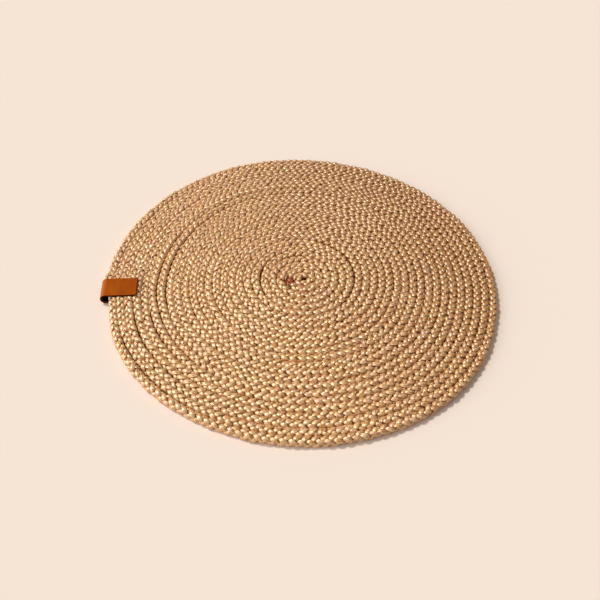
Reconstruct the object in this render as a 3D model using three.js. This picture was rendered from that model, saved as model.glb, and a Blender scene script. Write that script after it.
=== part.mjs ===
// A round placemat: one braided cord coiled flat and sewn edge to edge, with a leather tab folded over its edge.
// Millimetres, +Z up. The origin is the middle of the coil, on the surface that the mat lies on.
import * as THREE from "three";

// Driving dimensions, in millimetres; angles are in degrees, counter-clockwise from +X seen from above.
const matRadius = 160;
const cordPitch = 6.48;
const cordHeight = 6;
const topGrooveDepth = 2.1;
const underGrooveDepth = 1.2;
const eyeRadius = 1.2;
const eyeFloorHeight = 2.2;
const cordEndAngle = 188.2;
const cordEndTaperTurns = 0.03;
const cordEndWidthShare = 0.55;

const tabLength = 61.8;
const tabWidth = 19;
const leatherThickness = 1.4;
const clearance = 0.3;
const tabAngle = 185;
const tabSideShift = 8.8;
const tabFoldReach = 163.8;
const tabLiftFadeInward = 9;
const tabLiftFadeSideways = 17;

// How finely the coil is stepped: the most that a straight step may cut inside its arc.
const stepSagitta = 0.4;
const leastStepTurns = 0.008;
const foldSegments = 12;

// Where the lines run across one turn of the cord: 0 is its inner groove and 1 its outer one.
const topShoulderInner = 0.27;
const topShoulderOuter = 0.73;
const footInner = 0.24;
const footOuter = 0.76;

// How far the coil strays from an even spiral, outwards: at its edge, and in a ring of its turns near the middle.
const edgeUnevenness = [
  { angle: 30, out: 0.1 },
  { angle: 48, out: -1.0 },
  { angle: 90, out: -1.7 },
  { angle: 112, out: -1.1 },
  { angle: 150, out: -3.4 },
  { angle: 168, out: -3.2 },
  { angle: 178, out: -2.3 },
  { angle: 193, out: 0.7 },
  { angle: 209, out: 3.3 },
  { angle: 226, out: 3.0 },
  { angle: 253, out: 1.3 },
  { angle: 287, out: 0.8 },
  { angle: 312, out: 1.9 },
  { angle: 350, out: -0.1 },
];
const ringUnevenness = [
  { angle: 15, out: 0.0 },
  { angle: 45, out: 1.2 },
  { angle: 90, out: 1.7 },
  { angle: 165, out: 2.5 },
  { angle: 210, out: 2.9 },
  { angle: 285, out: 0.7 },
  { angle: 330, out: -0.1 },
  { angle: 345, out: -0.7 },
];
const ringRadius = 46;
const edgeOnset = 1.5;

// Sizes that follow from the driving ones.
const turnsInAll = (matRadius - eyeRadius) / cordPitch - 0.5;
const cordStartAngle = cordEndAngle - 360 * turnsInAll;
const matLift = leatherThickness + clearance;
const foldRadius = (matLift + cordHeight + clearance + leatherThickness) / 2;
const foldCentre = tabFoldReach - foldRadius;
const tabLeafLength = (tabLength - Math.PI * (foldRadius - leatherThickness / 2)) / 2;
const tabInnerEnd = foldCentre - tabLeafLength;

const radians = THREE.MathUtils.degToRad;

// A full turn's angle brought to 0 to 360 degrees.
function wrapped(angle) {
  return THREE.MathUtils.euclideanModulo(angle, 360);
}

// A table's value at an angle, eased from one row to the next.
function eased(table, angle) {
  const at = wrapped(angle);
  const next = Math.max(table.findIndex((row) => row.angle > at), 0);
  const upper = table[next];
  const lower = table[(next + table.length - 1) % table.length];
  const share = wrapped(at - lower.angle) / wrapped(upper.angle - lower.angle);
  return THREE.MathUtils.lerp(lower.out, upper.out, THREE.MathUtils.smoothstep(share, 0, 1));
}

// How far a line of the coil strays outwards: it grows from the centre to the ring, and passes over to the edge's.
function strayAt(angle, evenRadius) {
  const beyondRing = Math.max((evenRadius - ringRadius) / (matRadius - ringRadius), 0);
  const ringStray = eased(ringUnevenness, angle) * Math.min(evenRadius / ringRadius, 1);
  return THREE.MathUtils.lerp(ringStray, eased(edgeUnevenness, angle), beyondRing ** edgeOnset);
}

// How far the mat is raised by the tab's lower leaf at a point of the plan.
function liftAt(x, y) {
  const along = x * Math.cos(radians(tabAngle)) + y * Math.sin(radians(tabAngle));
  const aside = y * Math.cos(radians(tabAngle)) - x * Math.sin(radians(tabAngle)) - tabSideShift;
  const inwards = tabInnerEnd - clearance;
  const sideways = tabWidth / 2 + clearance;
  const overLeaf = THREE.MathUtils.smoothstep(along, inwards - tabLiftFadeInward, inwards);
  const besideLeaf = THREE.MathUtils.smoothstep(Math.abs(aside), sideways, sideways + tabLiftFadeSideways);
  return matLift * overLeaf * (1 - besideLeaf);
}

// A point of the coil: how many turns out from the start, how far across the cord, and how high.
function coilPoint(turn, across, height) {
  const even = eyeRadius + cordPitch * (turn + across);
  const angle = cordStartAngle + 360 * turn;
  const radius = even + strayAt(angle, even);
  const x = radius * Math.cos(radians(angle));
  const y = radius * Math.sin(radians(angle));
  return new THREE.Vector3(x, y, height + liftAt(x, y));
}

// The turns at which the coil is stepped between two turns: closer together where the coil is tighter.
function turnSteps(from, to) {
  const stepsPerRoot = ((4 / 3) * Math.PI) / Math.sqrt(8 * stepSagitta) / cordPitch;
  const countAt = (turn) => stepsPerRoot * (eyeRadius + cordPitch * (turn + 0.5)) ** 1.5;
  const turnAt = (count) => ((count / stepsPerRoot) ** (2 / 3) - eyeRadius) / cordPitch - 0.5;
  const steps = Math.ceil(countAt(to) - countAt(from));
  const inside = Array.from({ length: steps - 1 }, (_, i) =>
    turnAt(THREE.MathUtils.lerp(countAt(from), countAt(to), (i + 1) / steps)),
  );
  return [from, ...inside];
}

// The turns at which the cord crosses the sides of the tab and of the raised ground beside it.
function tabSteps() {
  const level = tabWidth / 2 + 2 * clearance;
  const sides = [-level - tabLiftFadeSideways, -level, level, level + tabLiftFadeSideways];
  const firstTurn = Math.floor((tabInnerEnd - tabLiftFadeInward - eyeRadius) / cordPitch);
  const wholeTurns = Array.from({ length: Math.ceil(turnsInAll) - firstTurn + 1 }, (_, i) => firstTurn + i);
  const startOffset = wrapped(tabAngle - cordStartAngle) / 360;
  return wholeTurns.flatMap((whole) =>
    sides.map((side) => {
      const middle = whole + startOffset;
      const radius = eyeRadius + cordPitch * (middle + 0.5);
      return middle + THREE.MathUtils.radToDeg(Math.asin((side + tabSideShift) / radius)) / 360;
    }),
  );
}

// Every turn at which the coil is stepped: those where its lines meet, then those at the tab, then the even ones.
function coilSteps(lastTurn) {
  const seams = [0, 1, lastTurn, turnsInAll];
  const even = [...turnSteps(0, 1), ...turnSteps(1, lastTurn), ...turnSteps(lastTurn, turnsInAll)];
  const kept = [...seams];
  for (const turn of [...tabSteps(), ...even]) {
    const clear = kept.every((other) => Math.abs(other - turn) > leastStepTurns);
    if (clear && turn < turnsInAll) kept.push(turn);
  }
  return kept.sort((a, b) => a - b);
}

// Gathers points and triangles into one closed surface.
class Surface {
  constructor() {
    this.positions = [];
    this.indices = [];
  }

  add(point) {
    this.positions.push(point.x, point.y, point.z);
    return this.positions.length / 3 - 1;
  }

  // A line along the cord, one point for each turn in the list.
  line(turns, across, height) {
    return turns.map((turn) => ({ turn, index: this.add(coilPoint(turn, across(turn), height(turn))) }));
  }

  // Triangles between two lines; the second line may lie a whole turn further on, or back.
  strip(first, second, turnsApart = 0) {
    let i = 0;
    let j = 0;
    while (i < first.length - 1 || j < second.length - 1) {
      const nextFirst = i + 1 < first.length ? first[i + 1].turn : Infinity;
      const nextSecond = j + 1 < second.length ? second[j + 1].turn - turnsApart : Infinity;
      if (nextFirst <= nextSecond) {
        this.indices.push(first[i].index, second[j].index, first[i + 1].index);
        i += 1;
      } else {
        this.indices.push(first[i].index, second[j].index, second[j + 1].index);
        j += 1;
      }
    }
  }

  // Triangles from one point to each side of a closed loop.
  fan(centre, loop) {
    loop.forEach((index, i) => this.indices.push(centre, index, loop[(i + 1) % loop.length]));
  }

  geometry() {
    const made = new THREE.BufferGeometry();
    made.setAttribute("position", new THREE.Float32BufferAttribute(this.positions, 3));
    made.setIndex(this.indices);
    made.computeVertexNormals();
    return made;
  }
}

// Part of a line, between two turns that it has points at.
function between(line, from, to) {
  return line.filter(({ turn }) => turn >= from && turn <= to);
}

function indices(line) {
  return line.map(({ index }) => index);
}

// The coil: a ridge for each turn of the cord above and below, a groove where two turns are sewn together.
function coilGeometry() {
  const lastTurn = turnsInAll - 1;
  const turns = coilSteps(lastTurn);
  const surface = new Surface();

  // The cut end of the cord narrows under the tab.
  const taper = (turn) => {
    const towardsEnd = THREE.MathUtils.smoothstep(turn, turnsInAll - cordEndTaperTurns, turnsInAll);
    return THREE.MathUtils.lerp(1, cordEndWidthShare, towardsEnd);
  };
  const acrossAt = (share) => (turn) => share * taper(turn);
  const fixed = (height) => () => height;
  // The first turn is pressed flat below, so that the middle of the mat has a flat foot.
  const underGroove = (turn) => underGrooveDepth * THREE.MathUtils.smoothstep(turn, 1, 2);

  const topGroove = surface.line(turns, acrossAt(0), fixed(cordHeight - topGrooveDepth));
  const topInner = surface.line(turns, acrossAt(topShoulderInner), fixed(cordHeight));
  const topOuter = surface.line(turns, acrossAt(topShoulderOuter), fixed(cordHeight));
  const outermost = turns.filter((turn) => turn >= lastTurn);
  const side = surface.line(outermost, acrossAt(1), fixed(cordHeight / 2));
  const feetOuter = surface.line(turns, acrossAt(footOuter), fixed(0));
  const feetInner = surface.line(turns, acrossAt(footInner), fixed(0));
  const lowGroove = surface.line(turns, acrossAt(0), underGroove);

  surface.strip(topGroove, topInner);
  surface.strip(topInner, topOuter);
  surface.strip(between(topOuter, 0, lastTurn), between(topGroove, 1, turnsInAll), 1);
  surface.strip(between(topOuter, lastTurn, turnsInAll), side);
  surface.strip(side, between(feetOuter, lastTurn, turnsInAll));
  surface.strip(between(lowGroove, 1, turnsInAll), between(feetOuter, 0, lastTurn), -1);
  surface.strip(feetOuter, feetInner);
  surface.strip(feetInner, lowGroove);

  // The small eye inside the first turn: a dimple above and a flat floor below.
  const eyeTop = surface.add(new THREE.Vector3(0, 0, eyeFloorHeight));
  const eyeFoot = surface.add(new THREE.Vector3(0, 0, 0));
  surface.fan(eyeTop, [...indices(between(topGroove, 0, 1)), topOuter[0].index, topInner[0].index]);
  surface.fan(eyeFoot, [
    ...indices(between(lowGroove, 0, 1)).reverse(),
    feetInner[0].index,
    feetOuter[0].index,
  ]);

  // The cut end of the cord.
  const onLast = (line) => line.find(({ turn }) => turn === lastTurn).index;
  const atEnd = (line) => line[line.length - 1].index;
  const endRim = [topGroove, topInner, topOuter, side, feetOuter, feetInner, lowGroove].map(atEnd);
  const rim = [onLast(topOuter), ...endRim, onLast(feetOuter)];
  rim.slice(0, -1).forEach((index, i) => surface.indices.push(onLast(side), index, rim[i + 1]));
  return surface.geometry();
}

// The tab: a flat strip of leather, one leaf on the mat, a round fold past its edge, and one leaf under it.
function tabGeometry() {
  const inside = foldRadius - leatherThickness;
  const outline = new THREE.Shape();
  outline.moveTo(tabInnerEnd, 2 * foldRadius);
  outline.lineTo(foldCentre, 2 * foldRadius);
  outline.absarc(foldCentre, foldRadius, foldRadius, Math.PI / 2, -Math.PI / 2, true);
  outline.lineTo(tabInnerEnd, 0);
  outline.lineTo(tabInnerEnd, leatherThickness);
  outline.lineTo(foldCentre, leatherThickness);
  outline.absarc(foldCentre, foldRadius, inside, -Math.PI / 2, Math.PI / 2, false);
  outline.lineTo(tabInnerEnd, 2 * foldRadius - leatherThickness);
  outline.closePath();
  const made = new THREE.ExtrudeGeometry(outline, {
    depth: tabWidth,
    bevelEnabled: false,
    curveSegments: foldSegments,
  });
  made.translate(0, 0, -tabWidth / 2);
  made.rotateX(Math.PI / 2);
  return made;
}

const cordMaterial = new THREE.MeshStandardMaterial({ color: 0xc8a073, roughness: 0.62, metalness: 0 });
const leatherMaterial = new THREE.MeshStandardMaterial({ color: 0xb45f1c, roughness: 0.55, metalness: 0 });

const placemat = new THREE.Group();

const coil = new THREE.Mesh(coilGeometry(), cordMaterial);
coil.name = "coiled_mat";
placemat.add(coil);

const tabPlace = new THREE.Group();
tabPlace.rotation.z = radians(tabAngle);
const tab = new THREE.Mesh(tabGeometry(), leatherMaterial);
tab.name = "leather_tab";
tab.position.y = tabSideShift;
tabPlace.add(tab);
placemat.add(tabPlace);

export default placemat;
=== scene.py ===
"""A round placemat: a braided cord coiled flat and sewn turn to turn, with a leather tab over its rim.

Every size is in metres and in the frame's axes: +Z is up, and the origin is the middle of the coil,
on the table. Angles are in degrees, counter-clockwise from +X seen from above.
"""

import logging
import math
from collections.abc import Iterable, Mapping, Sequence
from dataclasses import dataclass, field
from enum import Enum

import bmesh
import bpy
from bmesh.types import BMesh, BMVert
from bpy.types import Material, Mesh, Node, NodeTree, Object
from bpy.types import NodeSocket as Socket
from mathutils import Matrix, Vector, noise

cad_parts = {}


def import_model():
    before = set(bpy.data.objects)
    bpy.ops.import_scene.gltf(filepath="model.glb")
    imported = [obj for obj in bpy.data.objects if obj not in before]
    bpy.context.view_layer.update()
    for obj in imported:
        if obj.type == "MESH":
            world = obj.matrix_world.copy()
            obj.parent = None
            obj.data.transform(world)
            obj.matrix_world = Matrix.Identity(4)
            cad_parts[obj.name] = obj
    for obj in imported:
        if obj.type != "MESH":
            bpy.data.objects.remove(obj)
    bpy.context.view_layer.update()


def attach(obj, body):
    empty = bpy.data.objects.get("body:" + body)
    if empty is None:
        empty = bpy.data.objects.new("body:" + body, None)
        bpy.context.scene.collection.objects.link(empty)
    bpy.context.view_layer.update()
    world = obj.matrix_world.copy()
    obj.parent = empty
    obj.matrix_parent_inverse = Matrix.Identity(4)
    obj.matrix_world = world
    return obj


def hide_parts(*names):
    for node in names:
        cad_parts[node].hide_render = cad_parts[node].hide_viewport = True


MM = 0.001
UP = Vector((0.0, 0.0, 1.0))

log = logging.getLogger("placemat")

Colour = tuple[int, int, int]
Paint = Socket | Colour
Range = tuple[float, float]

# The masks of the leather, as point attributes of its mesh.
MASKS = ("flesh", "edge", "worn")


class Slant(Enum):
    """Which way a float leans as it runs forward along the cord, seen from above."""

    TO_THE_MIDDLE = 1
    TO_THE_RIM = -1


class Face(Enum):
    """A side of the mat: the value is the direction that it looks in."""

    TOP = 1
    UNDERSIDE = -1


class Draw(Enum):
    """What is drawn by chance for each float: the value shifts the seed."""

    TILT = 1
    SLIP = 2
    SIZE = 3
    TONE = 4
    YAW = 5


def smoothstep(value: float, low: float, high: float) -> float:
    """Returns 0 below low, 1 above high, and an eased share between them."""
    share = min(max((value - low) / (high - low), 0.0), 1.0)
    return share * share * (3.0 - 2.0 * share)


def eased(rows: Sequence[tuple[float, float]], angle: float) -> float:
    """Returns the value at an angle of a closed table of angles and values, eased between its rows."""
    at = angle % 360.0
    upper = next((i for i, row in enumerate(rows) if row[0] > at), 0)
    low_angle, low_value = rows[upper - 1]
    high_angle, high_value = rows[upper]
    share = ((at - low_angle) % 360.0) / ((high_angle - low_angle) % 360.0)
    return low_value + (high_value - low_value) * smoothstep(share, 0.0, 1.0)


def linear(red: int, green: int, blue: int) -> tuple[float, float, float, float]:
    """Returns a display colour, 0 to 255 in each channel, as a linear RGBA colour."""

    def channel(value: int) -> float:
        share = value / 255.0
        return share / 12.92 if share <= 0.04045 else ((share + 0.055) / 1.055) ** 2.4

    return (channel(red), channel(green), channel(blue), 1.0)


class NodeWeaver:
    """Adds nodes to one node tree and joins their sockets."""

    def __init__(self, tree: NodeTree) -> None:
        self.tree = tree

    def add(self, kind: str, sockets: Mapping | None = None, **settings: object) -> Node:
        """Adds one node.

        Args:
            kind: The type of the node.
            sockets: Its inputs, by name or by number: a plain value, or a socket to join.
            settings: The node's own properties.

        Returns:
            The new node.
        """
        node = self.tree.nodes.new(kind)
        for name, value in settings.items():
            setattr(node, name, value)
        for key, value in (sockets or {}).items():
            target = self.entry(node, key)
            if isinstance(value, Socket):
                self.tree.links.new(value, target)
            else:
                target.default_value = value
        return node

    def entry(self, node: Node, key: str | int) -> Socket:
        """Returns a node's input, by its number or as the first one in use of that name."""
        if isinstance(key, int):
            return node.inputs[key]
        return next(socket for socket in node.inputs if socket.name == key and socket.enabled)

    def math(self, operation: str, *terms: object) -> Socket:
        """Returns the result of a sum on numbers."""
        return self.add("ShaderNodeMath", dict(enumerate(terms)), operation=operation).outputs[0]

    def vector(self, operation: str, *terms: object) -> Socket:
        """Returns the vector that a sum on vectors gives."""
        return self.add("ShaderNodeVectorMath", dict(enumerate(terms)), operation=operation).outputs[0]

    def measure(self, operation: str, *terms: object) -> Socket:
        """Returns the number that a sum on vectors gives."""
        sockets = dict(enumerate(terms))
        return self.add("ShaderNodeVectorMath", sockets, operation=operation).outputs["Value"]

    def scaled(self, vector: Socket, factor: Socket) -> Socket:
        """Returns a vector times a number."""
        sockets = {0: vector, "Scale": factor}
        return self.add("ShaderNodeVectorMath", sockets, operation="SCALE").outputs[0]

    def joined(self, **parts: object) -> Socket:
        """Returns a vector made of the parts X, Y and Z."""
        return self.add("ShaderNodeCombineXYZ", parts).outputs[0]

    def dressed(self, last: Node, material: Socket) -> NodeTree:
        """Gives the last node's geometry a material, and returns the finished tree."""
        worn = self.add("GeometryNodeSetMaterial", {"Geometry": last.outputs[0], "Material": material})
        self.add("NodeGroupOutput", {0: worn.outputs[0]})
        return self.tree

    def parts(self, vector: Socket) -> Sequence[Socket]:
        """Returns the three parts of a vector."""
        return tuple(self.add("ShaderNodeSeparateXYZ", {0: vector}).outputs)

    def mix(self, share: Socket, first: Paint, second: Paint, blend: str = "MIX") -> Socket:
        """Returns a mix of two colours.

        Args:
            share: How much of the second colour there is, from 0 to 1.
            first: The first display colour, or the socket that gives one.
            second: The second display colour, or the socket that gives one.
            blend: The way of blending.

        Returns:
            The socket of the mixed colour.
        """
        sockets = {0: share}
        for key, paint in ((6, first), (7, second)):
            sockets[key] = paint if isinstance(paint, Socket) else linear(*paint)
        return self.add("ShaderNodeMix", sockets, data_type="RGBA", blend_type=blend).outputs[2]

    def ramp(self, value: Socket, low: float, high: float, results: Range = (0.0, 1.0)) -> Socket:
        """Returns a value brought from one range to another, and kept inside it."""
        sockets = {"Value": value, "From Min": low, "From Max": high}
        sockets |= {"To Min": results[0], "To Max": results[1]}
        return self.add("ShaderNodeMapRange", sockets).outputs[0]


def new_group(
    name: str, kind: str, entries: Mapping[str, str | float], exits: Mapping[str, str]
) -> NodeWeaver:
    """Starts a node group with named inputs and outputs.

    Args:
        name: The group's name.
        kind: The type of tree.
        entries: The kind of each input's socket, or the default of a plain number.
        exits: The kind of each output's socket.

    Returns:
        The weaver of the group's tree.
    """
    tree = bpy.data.node_groups.new(name, kind)
    for title, entry in entries.items():
        named = isinstance(entry, str)
        socket_type = f"NodeSocket{entry if named else 'Float'}"
        socket = tree.interface.new_socket(title, in_out="INPUT", socket_type=socket_type)
        if not named:
            socket.default_value = entry
    for title, entry in exits.items():
        tree.interface.new_socket(title, in_out="OUTPUT", socket_type=f"NodeSocket{entry}")
    return NodeWeaver(tree)


def placed(name: str, data: bpy.types.ID) -> Object:
    """Returns a new object in the scene, with the data given."""
    made = bpy.data.objects.new(name, data)
    bpy.context.scene.collection.objects.link(made)
    return made


def run_tree(tree: NodeTree, carrier: Object, values: Mapping, name: str) -> Object:
    """Runs a Geometry Nodes tree on an object and keeps the result as a plain mesh object.

    Args:
        tree: The tree to run.
        carrier: The object whose geometry goes in.
        values: The tree's inputs, by name.
        name: The name of the new piece.

    Returns:
        The new object, at the origin.
    """
    modifier = carrier.modifiers.new(name, "NODES")
    modifier.node_group = tree
    for item in tree.interface.items_tree:
        if item.in_out == "INPUT" and item.name in values:
            modifier[item.identifier] = values[item.name]
    carrier.update_tag()
    graph = bpy.context.evaluated_depsgraph_get()
    mesh = bpy.data.meshes.new_from_object(carrier.evaluated_get(graph), depsgraph=graph)
    carrier.modifiers.remove(modifier)
    mesh.name = name
    return placed(name, mesh)


def bridge(shell: BMesh, rings: Sequence[Sequence[BMVert]]) -> None:
    """Joins each closed ring of vertices to the next one with faces."""
    for first, second in zip(rings, rings[1:]):
        for i, vertex in enumerate(first):
            j = (i + 1) % len(first)
            shell.faces.new((vertex, first[j], second[j], second[i]))


def smooth_mesh(shell: BMesh, name: str) -> Mesh:
    """Returns a shell as a smooth mesh, with its faces turned outwards."""
    bmesh.ops.recalc_face_normals(shell, faces=shell.faces)
    for face in shell.faces:
        face.smooth = True
    mesh = bpy.data.meshes.new(name)
    shell.to_mesh(mesh)
    shell.free()
    return mesh


@dataclass(frozen=True)
class TabSizes:
    """The sizes and the place of the leather strip that is folded over the rim."""

    length: float = 61.8 * MM
    width: float = 19 * MM
    thickness: float = 1.4 * MM
    clearance: float = 0.3 * MM
    cord_height: float = 6 * MM
    angle: float = 185.0
    side_shift: float = 8.8 * MM
    fold_reach: float = 163.8 * MM

    @property
    def mat_lift(self) -> float:
        """How far the lower leaf raises the mat."""
        return self.thickness + self.clearance

    @property
    def fold_radius(self) -> float:
        """The outer radius of the fold."""
        return (self.mat_lift + self.cord_height + self.clearance + self.thickness) / 2

    @property
    def middle_radius(self) -> float:
        """The radius of the leather's middle layer in the fold."""
        return self.fold_radius - self.thickness / 2

    @property
    def fold_centre(self) -> float:
        """How far out the middle of the fold lies."""
        return self.fold_reach - self.fold_radius

    @property
    def leaf_length(self) -> float:
        """The length of one flat leaf."""
        return (self.length - math.pi * self.middle_radius) / 2

    @property
    def inner_end(self) -> float:
        """How far out the cut ends of the strip lie."""
        return self.fold_centre - self.leaf_length


@dataclass(frozen=True)
class Parting:
    """A place where two turns lie a little apart, and the outer one stands a little higher.

    The turn is that of the groove at the middle of the place, counted from the start of the coil.
    """

    turn: float
    half_length: float
    opening: float
    rise: float = 0.0


@dataclass(frozen=True)
class CoilPath:
    """The line that the cord follows, from the middle of the mat to its cut end under the tab."""

    mat_radius: float = 160 * MM
    cord_pitch: float = 6.48 * MM
    cord_height: float = 6 * MM
    eye_radius: float = 1.2 * MM
    cord_end_angle: float = 188.2
    tucked_start: float = -0.48

    # How far the turns stray from an even spiral, outwards, in rows of an angle and millimetres:
    # at the rim, and in a ring of turns near the middle.
    rim_stray: tuple[tuple[float, float], ...] = (
        (30, 0.1), (48, -1.0), (90, -1.7), (112, -1.1), (150, -3.4), (168, -3.2), (178, -2.3),
        (193, 0.7), (209, 3.3), (226, 3.0), (253, 1.3), (287, 0.8), (312, 1.9), (350, -0.1),
    )
    ring_stray: tuple[tuple[float, float], ...] = (
        (15, 0.0), (45, 1.2), (90, 1.7), (165, 2.5), (210, 2.9), (285, 0.7), (330, -0.1), (345, -0.7),
    )
    ring_radius: float = 46 * MM
    rim_onset: float = 1.5

    # The ground is raised where the lower leaf of the tab lies under the mat.
    tab: TabSizes = field(default_factory=TabSizes)
    tab_lift_fade_inward: float = 9 * MM
    tab_lift_fade_sideways: float = 17 * MM

    # Small unevenness that comes from the sewing by hand.
    sway: float = 0.28 * MM
    bob: float = 0.35 * MM
    sway_length: float = 42 * MM
    bob_seed: float = 9.0
    bob_rate: float = 2.0
    parting_reach: float = 1.6
    partings: tuple[Parting, ...] = (
        Parting(16.93, 0.25, 1.5 * MM, 0.4 * MM),
        Parting(17.93, 0.25, 1.4 * MM, 0.3 * MM),
        Parting(23.90, 0.08, 1.0 * MM),
        Parting(23.09, 0.06, 1.0 * MM),
        Parting(21.07, 0.09, 1.1 * MM, 0.3 * MM),
        Parting(20.87, 0.09, 1.1 * MM),
        Parting(19.07, 0.06, 1.1 * MM),
        Parting(6.60, 0.34, 1.1 * MM, 0.3 * MM),
        Parting(4.99, 0.13, 0.9 * MM, 0.3 * MM),
        Parting(3.78, 0.11, 0.9 * MM, 0.3 * MM),
        Parting(4.34, 0.07, 0.7 * MM),
    )

    # How finely the line is stepped.
    longest_step: float = 2.4 * MM
    shortest_step: float = 0.5 * MM
    step_share: float = 0.14

    @property
    def turns(self) -> float:
        """How many turns the coil has."""
        return (self.mat_radius - self.eye_radius) / self.cord_pitch - 0.5

    @property
    def start_angle(self) -> float:
        """The angle at which the cord starts."""
        return self.cord_end_angle - 360.0 * self.turns

    def stray(self, angle: float, even: float) -> float:
        """Returns how far a line of the coil strays outwards.

        Args:
            angle: The angle round the coil.
            even: The line's distance from the middle in an even coil.

        Returns:
            The distance: it grows from the middle to the ring, and passes over to the rim's beyond it.
        """
        beyond = max((even - self.ring_radius) / (self.mat_radius - self.ring_radius), 0.0)
        ring = eased(self.ring_stray, angle) * min(even / self.ring_radius, 1.0)
        return (ring + (eased(self.rim_stray, angle) - ring) * beyond**self.rim_onset) * MM

    def lift(self, x: float, y: float) -> float:
        """Returns how far the mat is raised by the tab's lower leaf at a point of the plan."""
        along_x = math.cos(math.radians(self.tab.angle))
        along_y = math.sin(math.radians(self.tab.angle))
        along = x * along_x + y * along_y
        aside = abs(y * along_x - x * along_y - self.tab.side_shift)
        inwards = self.tab.inner_end - self.tab.clearance
        sideways = self.tab.width / 2 + self.tab.clearance
        over = smoothstep(along, inwards - self.tab_lift_fade_inward, inwards)
        beside = smoothstep(aside, sideways, sideways + self.tab_lift_fade_sideways)
        return self.tab.mat_lift * over * (1.0 - beside)

    def part(self, turn: float) -> tuple[float, float]:
        """Returns how far the partings push a turn outwards, and how far they raise it."""
        out = 0.0
        rise = 0.0
        for parting in self.partings:
            away = turn - parting.turn
            row = round(away)
            along = (away - row) / parting.half_length
            if abs(along) >= 1.0:
                continue
            rows_off = row if row >= 0 else -1 - row
            strength = (1.0 - along * along) ** 2 * math.exp(-rows_off / self.parting_reach)
            out += math.copysign(parting.opening / 2.0, row + 0.5) * strength
            if row >= 0:
                rise += parting.rise * strength
        return out, rise

    def point(self, turn: float, across: float, height: float) -> Vector:
        """Returns a point of the coil.

        Args:
            turn: How many turns out from the start.
            across: How far across the cord, from its inner groove at 0 to its outer one at 1.
            height: How high above the cord's lowest line.

        Returns:
            The point, with the unevenness of the coil.
        """
        even = self.eye_radius + self.cord_pitch * (turn + across)
        angle = self.start_angle + 360.0 * turn
        out, rise = self.part(turn + across - 0.5)
        radius = even + self.stray(angle, even) + out
        spot = Vector((even * math.cos(math.radians(angle)), even * math.sin(math.radians(angle)), 0.0))
        spot /= self.sway_length
        radius += self.sway * noise.noise(spot + Vector((0.0, 0.0, turn)))
        bobbing = Vector((self.bob_seed, 0.0, self.bob_rate * turn))
        rise += self.bob * (0.5 + 0.5 * noise.noise(spot + bobbing))
        x = radius * math.cos(math.radians(angle))
        y = radius * math.sin(math.radians(angle))
        return Vector((x, y, height + rise + self.lift(x, y)))

    def line(self, first: float, last: float, across: float, height: float) -> list[Vector]:
        """Returns the points of a line along the cord between two turns, closest near the middle."""
        points = []
        turn = first
        while turn < last:
            points.append(self.point(turn, across, height))
            radius = self.eye_radius + self.cord_pitch * (turn + across)
            step = min(max(radius * self.step_share, self.shortest_step), self.longest_step)
            turn += step / (math.tau * radius)
        points.append(self.point(last, across, height))
        return points


def guide_curve(name: str, points: Iterable[Vector]) -> Object:
    """Returns a curve object of one open line through the points."""
    spots = list(points)
    curve = bpy.data.curves.new(name, "CURVE")
    curve.dimensions = "3D"
    spline = curve.splines.new("POLY")
    spline.points.add(len(spots) - 1)
    flat = [value for spot in spots for value in (*spot, 1.0)]
    spline.points.foreach_set("co", flat)
    return placed(name, curve)


@dataclass(frozen=True)
class StrandFloat:
    """One float of a strand: the stretch that shows on the cord, between two dives under other strands.

    It is made on a straight cord along +X and lies on top of it.
    """

    slant_angle: float = 39.0
    half_length: float = 5.0 * MM
    half_width: float = 2.15 * MM
    half_thickness: float = 0.86 * MM
    wrap_radius: float = 2.75 * MM
    middle_radius: float = 2.4 * MM
    end_dive: float = 1.15 * MM
    dive_power: float = 2.6
    taper_power: float = 2.4
    thinning: float = 0.45
    ring_places: tuple[float, ...] = (-0.84, -0.52, -0.17, 0.17, 0.52, 0.84)
    # The outline across a float: the share of its half width, and that of its half thickness.
    outline: tuple[tuple[float, float], ...] = (
        (-1.0, -0.05), (-0.76, 0.66), (-0.27, 0.97), (0.27, 0.97),
        (0.76, 0.66), (1.0, -0.05), (0.5, -0.8), (-0.5, -0.8),
    )

    def spot(self, slant: Slant, along: float, across: float, radius: float) -> Vector:
        """Returns the place on the cord of a point of the float laid flat.

        Args:
            slant: Which way the float leans.
            along: The point's place along the float.
            across: The point's place across the float.
            radius: The point's distance from the middle line of the cord.

        Returns:
            The place, on a cord along +X.
        """
        lean = math.radians(self.slant_angle) * -slant.value
        forward = along * math.cos(lean) - across * math.sin(lean)
        round_cord = (along * math.sin(lean) + across * math.cos(lean)) / self.wrap_radius
        return Vector((forward, -radius * math.sin(round_cord), radius * math.cos(round_cord)))

    def mesh(self, name: str, slant: Slant) -> Mesh:
        """Returns the closed mesh of the float, with a UV map in millimetres along and across it."""
        shell = bmesh.new()
        places: list[tuple[float, float]] = []

        def vertex(along: float, across: float, radius: float) -> BMVert:
            places.append((along / MM, across / MM))
            return shell.verts.new(self.spot(slant, along, across, radius))

        rings = []
        for place in self.ring_places:
            width = self.half_width * (1.0 - abs(place) ** self.taper_power) ** 0.5
            thickness = self.half_thickness * (1.0 - self.thinning * place * place)
            middle = self.middle_radius - self.end_dive * abs(place) ** self.dive_power
            along = place * self.half_length
            rings.append([vertex(along, width * a, middle + thickness * h) for a, h in self.outline])
        end_radius = self.middle_radius - self.end_dive
        tips = [vertex(side * self.half_length, 0.0, end_radius) for side in (-1.0, 1.0)]
        bridge(shell, rings)
        for tip, ring in zip(tips, (rings[0], rings[-1])):
            for i, corner in enumerate(ring):
                shell.faces.new((tip, corner, ring[(i + 1) % len(ring)]))
        mesh = smooth_mesh(shell, name)
        layer = mesh.uv_layers.new(name="fibre")
        for loop in mesh.loops:
            layer.uv[loop.index].vector = places[loop.vertex_index]
        return mesh


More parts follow.
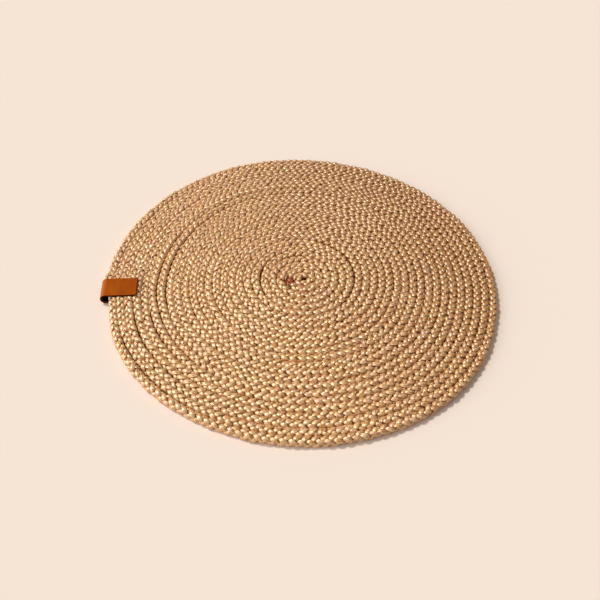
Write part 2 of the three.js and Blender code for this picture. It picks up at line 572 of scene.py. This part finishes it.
def braid_tree() -> NodeTree:
    """Builds the tree that lays one strand's floats on a straight cord and bends them along the coil.

    Returns:
        The Geometry Nodes tree.
    """
    entries = {"Coil": "Geometry", "Float": "Object", "Material": "Material"}
    entries |= dict.fromkeys(("Count", "Seed"), "Int")
    places = ("First Place", "Spacing", "Side Angle", "Roll Range", "Roll Length", "Rest Height")
    shapes = ("Height Share", "Width Share", "Squareness", "Size Spread", "Slip", "Tilt", "Yaw")
    entries |= dict.fromkeys(places + shapes, "Float")
    weaver = new_group("braid_strand", "GeometryNodeTree", entries, {"Strand": "Geometry"})
    given = weaver.add("NodeGroupInput").outputs
    index = weaver.add("GeometryNodeInputIndex").outputs[0]
    steps = weaver.math("MULTIPLY_ADD", index, given["Spacing"], given["First Place"])

    def chance(spread: object, draw: Draw) -> Socket:
        seed = weaver.math("ADD", given["Seed"], draw.value)
        low = weaver.math("MULTIPLY", spread, -1.0)
        sockets = {"Min": low, "Max": spread, "ID": index, "Seed": seed}
        return weaver.add("FunctionNodeRandomValue", sockets, data_type="FLOAT").outputs[1]

    # Each float sits on the other side of the cord from the one before it, and the cord rolls slowly.
    sockets = {"W": weaver.math("DIVIDE", steps, given["Roll Length"]), "Scale": 1.0, "Detail": 1.0}
    wave = weaver.add("ShaderNodeTexNoise", sockets, noise_dimensions="1D")
    swing = weaver.math("MULTIPLY", weaver.math("SUBTRACT", wave.outputs[0], 0.5), given["Roll Range"])
    roll = weaver.math("ADD", swing, chance(given["Tilt"], Draw.TILT))
    half_turns = weaver.math("MULTIPLY", weaver.math("MODULO", index, 2.0), math.pi)
    angle = weaver.math("ADD", weaver.math("ADD", given["Side Angle"], half_turns), roll)
    place = weaver.joined(X=weaver.math("ADD", steps, chance(given["Slip"], Draw.SLIP)))
    spots = weaver.add("GeometryNodePoints", {"Count": given["Count"], "Position": place})
    turned = weaver.joined(X=angle, Z=chance(given["Yaw"], Draw.YAW))
    rotation = weaver.add("FunctionNodeEulerToRotation", {0: turned})
    size = weaver.math("ADD", 1.0, chance(given["Size Spread"], Draw.SIZE))
    shape = weaver.add("GeometryNodeObjectInfo", {"Object": given["Float"], "As Instance": False})
    laid = weaver.add(
        "GeometryNodeInstanceOnPoints",
        {
            "Points": spots.outputs[0],
            "Instance": shape.outputs["Geometry"],
            "Rotation": rotation.outputs[0],
            "Scale": weaver.joined(X=1.0, Y=size, Z=size),
        },
    )
    toned = weaver.add(
        "GeometryNodeStoreNamedAttribute",
        {"Geometry": laid.outputs[0], "Name": "tone", "Value": chance(1.0, Draw.TONE)},
        data_type="FLOAT",
        domain="INSTANCE",
    )
    real = weaver.add("GeometryNodeRealizeInstances", {0: toned.outputs[0]})

    # The straight cord is bent: its length runs along the coil, and its sides lie level across it.
    along, aside, above = weaver.parts(weaver.add("GeometryNodeInputPosition").outputs[0])
    sockets = {"Curves": given["Coil"], "Length": along}
    on_coil = weaver.add("GeometryNodeSampleCurve", sockets, mode="LENGTH", use_all_curves=True)
    # Turns that are sewn tight press each other flat, so the round cord is brought towards a square.
    squares = [weaver.math("MULTIPLY", side, side) for side in (aside, above)]
    span = weaver.math("SQRT", weaver.math("ADD", *squares))
    shares = [weaver.math("ABSOLUTE", weaver.math("DIVIDE", side, span)) for side in (aside, above)]
    powers = [weaver.math("POWER", share, given["Squareness"]) for share in shares]
    root = weaver.math("DIVIDE", -1.0, given["Squareness"])
    fullness = weaver.math("POWER", weaver.math("ADD", *powers), root)
    inwards = weaver.vector("NORMALIZE", weaver.vector("CROSS_PRODUCT", UP, on_coil.outputs["Tangent"]))
    reach = weaver.math("MULTIPLY", aside, weaver.math("MULTIPLY", fullness, given["Width Share"]))
    height = weaver.math("MULTIPLY", weaver.math("MULTIPLY", above, fullness), given["Height Share"])
    level = weaver.vector("ADD", on_coil.outputs["Position"], weaver.scaled(inwards, reach))
    x, y, z = weaver.parts(weaver.vector("ADD", level, weaver.joined(Z=height)))
    # The underside is pressed flat on the table.
    pressed = weaver.joined(X=x, Y=y, Z=weaver.math("MAXIMUM", z, given["Rest Height"]))
    moved = weaver.add("GeometryNodeSetPosition", {"Geometry": real.outputs[0], "Position": pressed})
    return weaver.dressed(moved, given["Material"])


def tube_tree() -> NodeTree:
    """Builds the tree that sweeps a closed tube along a line, which may zigzag from side to side.

    Returns:
        The Geometry Nodes tree.
    """
    entries = {"Line": "Geometry", "Sides": "Int", "Material": "Material"}
    entries |= dict.fromkeys(("Step", "Radius", "Swing"), "Float")
    weaver = new_group("swept_tube", "GeometryNodeTree", entries, {"Tube": "Geometry"})
    given = weaver.add("NodeGroupInput").outputs
    sockets = {"Curve": given["Line"], "Length": given["Step"]}
    stepped = weaver.add("GeometryNodeResampleCurve", sockets, mode="LENGTH")
    index = weaver.add("GeometryNodeInputIndex").outputs[0]
    tangent = weaver.add("GeometryNodeInputTangent").outputs[0]
    side = weaver.math("MULTIPLY_ADD", weaver.math("MODULO", index, 2.0), 2.0, -1.0)
    across = weaver.vector("NORMALIZE", weaver.vector("CROSS_PRODUCT", UP, tangent))
    offset = weaver.scaled(across, weaver.math("MULTIPLY", side, given["Swing"]))
    swung = weaver.add("GeometryNodeSetPosition", {"Geometry": stepped.outputs[0], "Offset": offset})
    sockets = {"Resolution": given["Sides"], "Radius": given["Radius"]}
    ring = weaver.add("GeometryNodeCurvePrimitiveCircle", sockets)
    sockets = {"Curve": swung.outputs[0], "Profile Curve": ring.outputs[0], "Fill Caps": True}
    tube = weaver.add("GeometryNodeCurveToMesh", sockets)
    real = weaver.add("GeometryNodeRealizeInstances", {0: tube.outputs[0]})
    return weaver.dressed(real, given["Material"])


def fibre_group() -> NodeTree:
    """Builds the shader group of fine fibres that run along a strand or a thread.

    Returns:
        The group: a height for bumps, a mask that is dark between the fibres, and the mix of their dyes.
    """
    entries = {"Along and Across": "Vector", "Shift": 0.0, "Yarns": 1.0, "Yarn Depth": 0.5}
    entries |= {"Fibres": 6.0, "Twist": 0.22, "Streaks Along": 0.55}
    entries |= {"Flecks Along": 0.45, "Flecks Across": 1.3, "Fleck Shift": 17.0}
    exits = dict.fromkeys(("Height", "Mask", "Heather"), "Float")
    weaver = new_group("fibre_streaks", "ShaderNodeTree", entries, exits)
    given = weaver.add("NodeGroupInput").outputs
    along, across, _ = weaver.parts(given["Along and Across"])
    twisted = weaver.math("MULTIPLY_ADD", along, given["Twist"], across)
    phase = weaver.math("MULTIPLY", twisted, weaver.math("MULTIPLY", given["Yarns"], math.tau))
    yarn = weaver.math("MULTIPLY_ADD", weaver.math("COSINE", phase), 0.5, 0.5)
    spot = weaver.joined(
        X=weaver.math("MULTIPLY", along, given["Streaks Along"]),
        Y=weaver.math("MULTIPLY", twisted, given["Fibres"]),
        Z=given["Shift"],
    )
    streak = weaver.add("ShaderNodeTexNoise", {"Vector": spot, "Scale": 1.0, "Detail": 2.0}).outputs[0]
    height = weaver.math("ADD", weaver.math("MULTIPLY", yarn, given["Yarn Depth"]), streak)
    low = weaver.math("SUBTRACT", 1.0, given["Yarn Depth"])
    mask = weaver.math("MULTIPLY", streak, weaver.math("MULTIPLY_ADD", yarn, given["Yarn Depth"], low))
    flecks = weaver.joined(
        X=weaver.math("MULTIPLY", along, given["Flecks Along"]),
        Y=weaver.math("MULTIPLY", twisted, given["Flecks Across"]),
        Z=weaver.math("ADD", given["Shift"], given["Fleck Shift"]),
    )
    heather = weaver.add("ShaderNodeTexNoise", {"Vector": flecks, "Scale": 1.0, "Detail": 1.0})
    weaver.add("NodeGroupOutput", {"Height": height, "Mask": mask, "Heather": heather.outputs[0]})
    return weaver.tree


def drift_group() -> NodeTree:
    """Builds the shader group of slow changes over a piece, such as dye that took unevenly.

    Returns:
        The group: a value around 0.5 that wanders over the piece.
    """
    entries = {"Place": "Vector", "Patch Size": 0.05}
    weaver = new_group("slow_drift", "ShaderNodeTree", entries, {"Drift": "Float"})
    given = weaver.add("NodeGroupInput").outputs
    scale = weaver.math("DIVIDE", 1.0, given["Patch Size"])
    patches = weaver.add("ShaderNodeTexNoise", {"Vector": given["Place"], "Scale": scale, "Detail": 2.0})
    weaver.add("NodeGroupOutput", {"Drift": patches.outputs[0]})
    return weaver.tree


@dataclass(frozen=True)
class SharedEffects:
    """The shader groups that more than one finish uses."""

    fibres: NodeTree
    drift: NodeTree

    def drifting(self, weaver: NodeWeaver, place: Socket, size: float) -> Socket:
        """Returns the slow drift over a piece, in patches of a size."""
        sockets = {"Place": place, "Patch Size": size}
        return weaver.add("ShaderNodeGroup", sockets, node_tree=self.drift).outputs[0]


def new_material(name: str) -> tuple[Material, NodeWeaver]:
    """Returns an empty node material and the weaver of its tree."""
    material = bpy.data.materials.new(name)
    material.use_nodes = True
    material.node_tree.nodes.clear()
    return material, NodeWeaver(material.node_tree)


def finish_surface(weaver: NodeWeaver, sockets: Mapping) -> None:
    """Adds the surface shader and the output to a material.

    Args:
        weaver: The weaver of the material's tree.
        sockets: The inputs of the Principled shader.
    """
    surface = weaver.add("ShaderNodeBsdfPrincipled", sockets)
    weaver.add("ShaderNodeOutputMaterial", {"Surface": surface.outputs[0]})


@dataclass(frozen=True)
class YarnFinish:
    """Shiny tan yarn, as the strands of the cord and its sewing thread have it.

    The fibres lie side by side along a strand, so its gloss is drawn out across them.
    """

    name: str
    tone_attribute: str = "tone"
    tan: Colour = (255, 190, 117)
    rosy: Colour = (255, 186, 134)
    golden: Colour = (255, 190, 107)
    tone_share: float = 0.5
    rosy_range: Range = (0.45, 1.0)
    golden_range: Range = (0.5, 0.0)
    patch_size: float = 60 * MM

    # Painted shade darkens the yarn between the fibres and where a float's sides and ends dive into
    # the creases, in millimetres from its middle.
    shade: Colour = (150, 72, 4)
    shade_share: float = 0.6
    shade_range: Range = (0.12, 0.42)
    side_crease: Range = (1.2, 2.1)
    end_crease: Range = (3.2, 4.8)
    crease_share: float = 0.72
    heather_dark: Colour = (178, 98, 20)
    heather_light: Colour = (255, 230, 182)
    dark_range: Range = (0.48, 0.33)
    light_range: Range = (0.52, 0.68)

    roughness: float = 0.34
    shine: float = 1.0
    shine_tint: Colour = (255, 244, 214)
    ior: float = 2.0
    anisotropy: float = 0.5
    anisotropy_turn: float = 0.25
    yarns: float = 0.75
    yarn_depth: float = 0.6
    fibres: float = 4.0
    tone_shift: float = 40.0
    bump_height: float = 0.13 * MM

    # Painted shade darkens the yarn across the mat, as a fall-off of light between two distances from
    # its middle in one direction.
    painted_falloff_tint: Colour = (208, 189, 162)
    painted_falloff_towards: float = 30.0
    painted_falloff_span: Range = (-40 * MM, 130 * MM)

    # The yarn is darker, and less glossy, in a ragged patch beside the middle of the coil.
    dark_patch: Colour = (180, 118, 60)
    dark_patch_spot: tuple[float, float, float] = (-11.5 * MM, -4.6 * MM, 6 * MM)
    dark_patch_size: float = 7.0 * MM
    dark_patch_raggedness: float = 9 * MM
    dark_patch_dullness: float = 0.7

    def build(self, effects: SharedEffects) -> Material:
        """Returns the material."""
        material, weaver = new_material(self.name)
        tone = weaver.add("ShaderNodeAttribute", attribute_name=self.tone_attribute).outputs["Fac"]
        place = weaver.add("ShaderNodeTexCoord").outputs["Object"]
        strand_map = weaver.add("ShaderNodeUVMap", uv_map="fibre").outputs[0]
        sockets = {
            "Along and Across": strand_map,
            "Shift": weaver.math("MULTIPLY", tone, self.tone_shift),
            "Yarns": self.yarns,
            "Yarn Depth": self.yarn_depth,
            "Fibres": self.fibres,
        }
        fibres = weaver.add("ShaderNodeGroup", sockets, node_tree=effects.fibres).outputs
        drift = effects.drifting(weaver, place, self.patch_size)
        rosiness = weaver.math("MULTIPLY_ADD", tone, self.tone_share, drift)
        colour = weaver.mix(weaver.ramp(rosiness, *self.rosy_range), self.tan, self.rosy)
        colour = weaver.mix(weaver.ramp(rosiness, *self.golden_range), colour, self.golden)
        heather = fibres["Heather"]
        colour = weaver.mix(weaver.ramp(heather, *self.dark_range), colour, self.heather_dark)
        colour = weaver.mix(weaver.ramp(heather, *self.light_range), colour, self.heather_light)
        # Painted shade: the yarn is darkened between the fibres and in the creases at a float's sides
        # and ends.
        between = weaver.ramp(fibres["Mask"], *self.shade_range, (self.shade_share, 0.0))
        along, across, _ = weaver.parts(strand_map)
        sides = weaver.ramp(weaver.math("ABSOLUTE", across), *self.side_crease)
        ends = weaver.ramp(weaver.math("ABSOLUTE", along), *self.end_crease)
        crease = weaver.math("MULTIPLY", weaver.math("MAXIMUM", sides, ends), self.crease_share)
        colour = weaver.mix(weaver.math("MAXIMUM", between, crease), colour, self.shade)
        # Painted shade: the yarn is darkened across the mat in one direction, as a fall-off of light.
        bearing = math.radians(self.painted_falloff_towards)
        across_mat = weaver.measure("DOT_PRODUCT", place, (math.cos(bearing), math.sin(bearing), 0.0))
        painted_falloff_share = weaver.ramp(across_mat, *self.painted_falloff_span)
        colour = weaver.mix(painted_falloff_share, colour, self.painted_falloff_tint, "MULTIPLY")
        # A darker, duller ragged patch beside the middle of the coil.
        away = weaver.measure("DISTANCE", place, self.dark_patch_spot)
        ragged = weaver.math("MULTIPLY_ADD", heather, self.dark_patch_raggedness, away)
        edge = self.dark_patch_size + self.dark_patch_raggedness / 2
        darkened = weaver.ramp(ragged, edge, edge - self.dark_patch_size / 2)
        colour = weaver.mix(darkened, colour, self.dark_patch, "MULTIPLY")
        dullness = self.dark_patch_dullness * self.shine
        sockets = {"Height": fibres["Height"], "Distance": self.bump_height, "Strength": 1.0}
        bump = weaver.add("ShaderNodeBump", sockets)
        fibre_way = weaver.add("ShaderNodeTangent", direction_type="UV_MAP", uv_map="fibre")
        sockets = {
            "Base Color": colour,
            "Roughness": self.roughness,
            "Specular IOR Level": weaver.math("MULTIPLY_ADD", darkened, -dullness, self.shine),
            "Specular Tint": linear(*self.shine_tint),
            "IOR": self.ior,
            "Anisotropic": self.anisotropy,
            "Anisotropic Rotation": self.anisotropy_turn,
            "Tangent": fibre_way.outputs[0],
            "Normal": bump.outputs[0],
        }
        finish_surface(weaver, sockets)
        return material


@dataclass(frozen=True)
class CoreFinish:
    """The yarn deep inside the cord, with painted shade: darker than the strands. It shows only in the
    gaps between strands.
    """

    name: str = "cord_core"
    colour: Colour = (132, 76, 30)
    dark: Colour = (82, 42, 14)
    roughness: float = 0.9
    patch_size: float = 3 * MM

    def build(self, effects: SharedEffects) -> Material:
        """Returns the material."""
        material, weaver = new_material(self.name)
        place = weaver.add("ShaderNodeTexCoord").outputs["Object"]
        drift = effects.drifting(weaver, place, self.patch_size)
        # Painted shade: the core's browns are the yarn darkened as if in shadow.
        colour = weaver.mix(drift, self.dark, self.colour)
        finish_surface(weaver, {"Base Color": colour, "Roughness": self.roughness})
        return material


@dataclass(frozen=True)
class LeatherFinish:
    """Smooth tan leather: grain outside, stained edges, a dark flesh side."""

    name: str = "tan_leather"
    face: Colour = (175, 83, 6)
    face_deep: Colour = (154, 66, 2)
    face_range: Range = (0.3, 0.7)
    worn: Colour = (196, 104, 30)
    edge: Colour = (70, 28, 8)
    flesh: Colour = (12, 9, 8)
    roughness: float = 0.47
    crease_roughness: float = 0.16
    dull_roughness: float = 0.35
    shine: float = 0.15
    shine_tint: Colour = (255, 190, 110)
    patch_size: float = 6 * MM
    streak: tuple[float, float, float] = (1.0, 0.3, 1.0)
    grain_size: float = 0.7 * MM
    crease_scale: float = 0.4
    grain_height: float = 0.05 * MM
    grain_strength: float = 0.8

    def build(self, effects: SharedEffects) -> Material:
        """Returns the material."""
        material, weaver = new_material(self.name)
        place = weaver.add("ShaderNodeTexCoord").outputs["Object"]
        flesh, edge, worn = (
            weaver.add("ShaderNodeAttribute", attribute_name=title).outputs["Fac"] for title in MASKS
        )
        streaked = weaver.add("ShaderNodeMapping", {"Vector": place, "Scale": self.streak}).outputs[0]
        drift = effects.drifting(weaver, streaked, self.patch_size)
        colour = weaver.mix(weaver.ramp(drift, *self.face_range), self.face_deep, self.face)
        for mask, stain in ((worn, self.worn), (edge, self.edge), (flesh, self.flesh)):
            colour = weaver.mix(mask, colour, stain)
        pores = weaver.add("ShaderNodeTexVoronoi", {"Vector": place, "Scale": 1.0 / self.grain_size})
        sockets = {"Vector": place, "Scale": self.crease_scale / self.grain_size, "Detail": 4.0}
        creases = weaver.add("ShaderNodeTexNoise", sockets).outputs[0]
        sockets = {
            "Height": weaver.math("ADD", pores.outputs["Distance"], creases),
            "Distance": self.grain_height,
            "Strength": self.grain_strength,
        }
        bump = weaver.add("ShaderNodeBump", sockets)
        gloss = weaver.math("MULTIPLY_ADD", creases, self.crease_roughness, self.roughness)
        dull = weaver.math("MAXIMUM", flesh, edge)
        sockets = {
            "Base Color": colour,
            "Roughness": weaver.math("MULTIPLY_ADD", dull, self.dull_roughness, gloss),
            "Specular IOR Level": self.shine,
            "Specular Tint": linear(*self.shine_tint),
            "Normal": bump.outputs[0],
        }
        finish_surface(weaver, sockets)
        return material


@dataclass(frozen=True)
class FloorFinish:
    """The plain pale floor."""

    name: str = "pale_floor"
    colour: Colour = (246, 228, 212)
    roughness: float = 0.95

    def build(self) -> Material:
        """Returns the material."""
        material, weaver = new_material(self.name)
        sockets = {"Base Color": linear(*self.colour), "Roughness": self.roughness}
        finish_surface(weaver, sockets | {"Specular IOR Level": 0.0})
        return material


@dataclass
class BraidedMat:
    """The coiled cord: a core, eight strands braided over two and under two, and the sewing thread."""

    path: CoilPath
    yarn: Material
    core: Material
    thread: Material
    strands: int = 8
    lead: float = 25 * MM
    width_share: float = 1.08
    squareness: float = 4.5
    rest_height: float = 0.03 * MM
    roll_range: float = 150.0
    roll_length: float = 210 * MM
    size_spread: float = 0.1
    slip: float = 0.4 * MM
    tilt: float = 8.0
    yaw: float = 6.0
    seed: int = 41
    seed_step: int = 10
    core_radius: float = 2.2 * MM
    core_step: float = 3.6 * MM
    core_sides: int = 6
    thread_radius: float = 0.2 * MM
    thread_step: float = 2.1 * MM
    thread_swing: float = 0.55 * MM
    thread_depth: float = 2.6 * MM
    thread_start: float = 1.0
    thread_sides: int = 3
    float_shape: StrandFloat = field(default_factory=StrandFloat)
    pieces: list[Object] = field(default_factory=list)

    def build(self) -> list[Object]:
        """Makes every piece of the mat.

        Returns:
            The core first, then the strands and the two threads.
        """
        middle = self.path.cord_height / 2
        points = self.path.line(self.path.tucked_start, self.path.turns, 0.5, middle)
        centre = guide_curve("cord_line", points)
        self.pieces = [self.build_core(centre), *self.build_strands(centre), *self.build_threads()]
        bpy.data.objects.remove(centre)
        return self.pieces

    def build_core(self, centre: Object) -> Object:
        """Returns the closed tube inside the strands."""
        values = {
            "Step": self.core_step,
            "Radius": self.core_radius,
            "Sides": self.core_sides,
            "Swing": 0.0,
            "Material": self.core,
        }
        core = run_tree(tube_tree(), centre, values, "cord_core")
        core.data.shade_smooth()
        return core

    def build_strands(self, centre: Object) -> list[Object]:
        """Returns the eight strands: four that lean to the middle and four that lean to the rim."""
        tree = braid_tree()
        spacing = self.lead / 2
        pick = self.lead / (self.strands / 2)
        length = sum(spline.calc_length() for spline in centre.data.splines)
        samples = {}
        for slant in Slant:
            name = f"float_{slant.value}"
            samples[slant] = bpy.data.objects.new(name, self.float_shape.mesh(name, slant))
        made = []
        for number in range(self.strands):
            slant = Slant.TO_THE_MIDDLE if number % 2 else Slant.TO_THE_RIM
            pair = number // 2
            # The strands of the other lean are half a pick further on, a quarter turn round the cord.
            # Each starts with its first whole float, which may be on the other side of the cord.
            skipped, first = divmod(pick * (pair + 0.5 + 0.5 * (number % 2)), spacing)
            side = math.pi / 4 + math.pi / 2 * (number % 2) + math.pi * skipped
            values = {
                "Float": samples[slant],
                "First Place": first,
                "Spacing": spacing,
                "Count": int((length - first) / spacing) + 1,
                "Side Angle": side,
                "Roll Range": math.radians(self.roll_range),
                "Roll Length": self.roll_length,
                "Height Share": self.path.cord_height / self.path.cord_pitch,
                "Width Share": self.width_share,
                "Squareness": self.squareness,
                "Rest Height": self.rest_height,
                "Size Spread": self.size_spread,
                "Slip": self.slip,
                "Tilt": math.radians(self.tilt),
                "Yaw": math.radians(self.yaw),
                "Seed": self.seed + self.seed_step * number,
                "Material": self.yarn,
            }
            made.append(run_tree(tree, centre, values, f"strand_{number + 1}"))
        for sample in samples.values():
            bpy.data.objects.remove(sample)
        return made

    def build_threads(self) -> list[Object]:
        """Returns the zigzag thread in the grooves of the top, and the one in those of the underside."""
        tree = tube_tree()
        made = []
        for face in Face:
            middle = self.path.cord_height / 2
            height = middle + face.value * (middle - self.thread_depth)
            points = self.path.line(self.thread_start, self.path.turns, 0.0, height)
            groove = guide_curve(f"groove_line_{face.name.lower()}", points)
            values = {
                "Step": self.thread_step,
                "Radius": self.thread_radius,
                "Sides": self.thread_sides,
                "Swing": self.thread_swing,
                "Material": self.thread,
            }
            thread = run_tree(tree, groove, values, f"sewing_thread_{face.name.lower()}")
            thread.data.shade_smooth()
            bpy.data.objects.remove(groove)
            made.append(thread)
        return made

    def declare(self) -> None:
        """Attaches each piece to the root body and hides the mat's CAD part."""
        for piece in self.pieces:
            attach(piece, "root")
            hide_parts("coiled_mat")


@dataclass
class LeatherTab:
    """A strip of leather folded over the rim of the mat: one leaf on top and one leaf below."""

    finish: Material
    sizes: TabSizes = field(default_factory=TabSizes)
    edge_radius: float = 0.32 * MM
    rows: int = 110
    columns: int = 26
    edge_steps: int = 3
    sag: float = 0.14 * MM
    curl: float = 0.25 * MM
    sag_onset: float = 0.75
    curl_share: float = 0.3
    wave_length: float = 6 * MM
    wave_seed: float = 3.0
    edge_stain: float = 0.5 * MM
    fold_wear: float = 0.7

    def midline(self, along: float) -> tuple[Vector, Vector]:
        """Returns a point of the strip's middle layer and the way its outer face looks there.

        Args:
            along: The distance from the end of the upper leaf.

        Returns:
            The point and the unit normal, in the plane of the tab's length (X) and height (Z).
        """
        sizes = self.sizes
        radius = sizes.middle_radius
        if along <= sizes.leaf_length:
            return Vector((sizes.inner_end + along, 0.0, sizes.fold_radius + radius)), UP.copy()
        bend = (along - sizes.leaf_length) / radius
        if bend < math.pi:
            normal = Vector((math.sin(bend), 0.0, math.cos(bend)))
            return Vector((sizes.fold_centre, 0.0, sizes.fold_radius)) + radius * normal, normal
        rest = along - sizes.leaf_length - math.pi * radius
        return Vector((sizes.fold_centre - rest, 0.0, sizes.fold_radius - radius)), -UP

    def unevenness(self, along: float, across: float) -> float:
        """Returns how far the upper leaf stands off its even place, over the turns and at corners."""
        leaf = self.sizes.leaf_length
        on_top = 1.0 - smoothstep(along, self.sag_onset * leaf, leaf)
        spot = Vector((along / self.wave_length, across / self.sizes.width, self.wave_seed))
        waves = self.sag * noise.noise(spot)
        inner = 1.0 - smoothstep(along, 0.0, self.curl_share * leaf)
        side = abs(across) / (self.sizes.width / 2)
        return on_top * (waves + self.curl * inner * side * side)

    def outline(self) -> list[tuple[float, float, float, float]]:
        """Returns the closed outline across the strip.

        Returns:
            For each point: its place across and through the strip, and its flesh and edge masks.
        """
        half = self.sizes.width / 2
        deep = self.sizes.thickness / 2
        flat_half = half - self.edge_radius

        def corner(side: float, face: float) -> list[tuple[float, float, float, float]]:
            points = []
            for step in range(self.edge_steps + 1):
                turn = math.pi / 2 * step / self.edge_steps
                across = flat_half + self.edge_radius * math.sin(turn)
                through = deep - self.edge_radius + self.edge_radius * math.cos(turn)
                edge = step / self.edge_steps
                points.append((side * across, face * through, edge if face < 0.0 else 0.0, edge))
            return points

        def flat(face: float) -> list[tuple[float, float, float, float]]:
            places = [flat_half * (2.0 * i / self.columns - 1.0) for i in range(1, self.columns)]
            return [(face * across, face * deep, float(face < 0.0), 0.0) for across in places]

        right = corner(1.0, 1.0) + corner(1.0, -1.0)[::-1]
        left = corner(-1.0, -1.0) + corner(-1.0, 1.0)[::-1]
        return flat(1.0) + right + flat(-1.0) + left

    def stations(self) -> list[tuple[float, float]]:
        """Returns the places along the strip of its rings, and how far each ring is drawn in."""
        radius = self.edge_radius
        turns = [math.pi / 2 * step / self.edge_steps for step in range(self.edge_steps, 0, -1)]
        start = [(radius * (1.0 - math.sin(turn)), radius * (1.0 - math.cos(turn))) for turn in turns]
        span = self.sizes.length - 2 * self.edge_radius
        flat = [(self.edge_radius + span * i / self.rows, 0.0) for i in range(self.rows + 1)]
        end = [(self.sizes.length - along, shrink) for along, shrink in reversed(start)]
        return start + flat + end

    def build(self) -> Object:
        """Makes the tab.

        Returns:
            The tab's object, with its place in its mesh.
        """
        sizes = self.sizes
        turned = Matrix.Rotation(math.radians(sizes.angle), 4, "Z")
        place = turned @ Matrix.Translation((0.0, sizes.side_shift, 0.0))
        fold_length = math.pi * sizes.middle_radius
        outline = self.outline()
        shell = bmesh.new()
        masks: list[tuple[float, float, float]] = []
        rings = []
        for along, shrink in self.stations():
            middle, normal = self.midline(along)
            from_end = min(along, sizes.length - along)
            near_end = 1.0 - smoothstep(from_end, self.edge_radius / 2, self.edge_stain)
            bend = math.sin(min(max((along - sizes.leaf_length) / fold_length, 0.0), 1.0) * math.pi)
            ring = []
            for across, through, flesh, edge in outline:
                inward = math.copysign(max(abs(through) - shrink, 0.0), through)
                spot = middle + normal * (inward + self.unevenness(along, across))
                spot.y = across
                ring.append(shell.verts.new(place @ spot))
                masks.append((flesh, max(edge, near_end), self.fold_wear * bend))
            rings.append(ring)
        bridge(shell, rings)
        for ring in (rings[0], rings[-1]):
            shell.faces.new(ring)
        mesh = smooth_mesh(shell, "leather_strip")
        for column, title in enumerate(MASKS):
            layer = mesh.attributes.new(title, "FLOAT", "POINT")
            layer.data.foreach_set("value", [row[column] for row in masks])
        mesh.materials.append(self.finish)
        return placed("leather_strip", mesh)

    def declare(self, tab: Object) -> None:
        """Attaches the tab to the root body and hides the tab's CAD part."""
        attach(tab, "root")
        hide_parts("leather_tab")


@dataclass(frozen=True)
class Lamp:
    """A soft lamp, far enough away to light the whole floor evenly.

    The spread is the angle that the lamp fills as seen from the mat, and the share is how much of the
    floor's brightness comes from it.
    """

    name: str
    azimuth: float
    elevation: float
    spread: float
    share: float

    def build(self) -> None:
        """Adds the lamp to the scene."""
        azimuth = math.radians(self.azimuth)
        elevation = math.radians(self.elevation)
        flat = math.cos(elevation)
        towards = Vector((flat * math.cos(azimuth), flat * math.sin(azimuth), math.sin(elevation)))
        light = bpy.data.lights.new(self.name, "SUN")
        light.angle = math.radians(self.spread)
        light.energy = self.share * math.pi / math.sin(elevation)
        lamp = placed(self.name, light)
        lamp.matrix_world = towards.to_track_quat("Z", "Y").to_matrix().to_4x4()


@dataclass
class Studio:
    """The floor, the light and the camera."""

    floor_size: float = 6.0
    floor_finish: FloorFinish = field(default_factory=FloorFinish)
    ambient_colour: tuple[float, float, float, float] = (1.0, 1.0, 1.0, 1.0)
    ambient_strength: float = 0.30
    lamps: tuple[Lamp, ...] = (
        Lamp("key_light", azimuth=150.0, elevation=55.0, spread=10.0, share=0.50),
        Lamp("side_light", azimuth=195.0, elevation=24.0, spread=50.0, share=0.20),
    )
    camera_aim: tuple[float, float, float] = (-1.696 * MM, -20.672 * MM, 0.0)
    camera_distance: float = 610.768 * MM
    camera_elevation: float = 47.371
    camera_roll: float = 2.042
    focal_pixels: float = 749.77
    frame_pixels: float = 600.0
    sensor: float = 36.0

    def build_floor(self) -> None:
        """Adds the floor."""
        half = self.floor_size / 2
        mesh = bpy.data.meshes.new("floor")
        corners = [(-half, -half, 0.0), (half, -half, 0.0), (half, half, 0.0), (-half, half, 0.0)]
        mesh.from_pydata(corners, [], [(0, 1, 2, 3)])
        mesh.materials.append(self.floor_finish.build())
        floor = placed("floor", mesh)

    def build_light(self) -> None:
        """Adds the lamps and the even light of the room."""
        world = bpy.data.worlds.new("room")
        world.use_nodes = True
        background = world.node_tree.nodes["Background"]
        background.inputs["Color"].default_value = self.ambient_colour
        background.inputs["Strength"].default_value = self.ambient_strength
        bpy.context.scene.world = world
        for lamp in self.lamps:
            lamp.build()

    def build_camera(self) -> None:
        """Adds the camera at the photograph's viewing angle."""
        lens = bpy.data.cameras.new("camera")
        lens.sensor_width = self.sensor
        lens.lens = self.sensor * self.focal_pixels / self.frame_pixels
        camera = placed("camera", lens)
        camera.matrix_world = (
            Matrix.Translation(self.camera_aim)
            @ Matrix.Rotation(math.radians(90.0 - self.camera_elevation), 4, "X")
            @ Matrix.Rotation(math.radians(self.camera_roll), 4, "Z")
            @ Matrix.Translation((0.0, 0.0, self.camera_distance))
        )
        bpy.context.scene.camera = camera

    def build(self) -> None:
        """Builds the whole studio."""
        self.build_camera()
        self.build_floor()
        self.build_light()
        bpy.context.scene.view_settings.view_transform = "Standard"


def main() -> None:
    """Builds the studio and the placemat around the frame."""
    logging.basicConfig(level=logging.INFO, format="%(message)s")
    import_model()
    Studio().build()
    effects = SharedEffects(fibre_group(), drift_group())
    yarn = YarnFinish("braided_yarn")
    thread = YarnFinish("sewing_thread", tone_attribute="none", bump_height=0.02 * MM)
    mat = BraidedMat(CoilPath(), yarn.build(effects), CoreFinish().build(effects), thread.build(effects))
    for piece in mat.build():
        piece.data.calc_loop_triangles()
        log.info("%s: %d triangles", piece.name, len(piece.data.loop_triangles))
    mat.declare()
    tab = LeatherTab(LeatherFinish().build(effects))
    strip = tab.build()
    strip.data.calc_loop_triangles()
    log.info("%s: %d triangles", strip.name, len(strip.data.loop_triangles))
    tab.declare(strip)


if __name__ == "__main__":
    main()
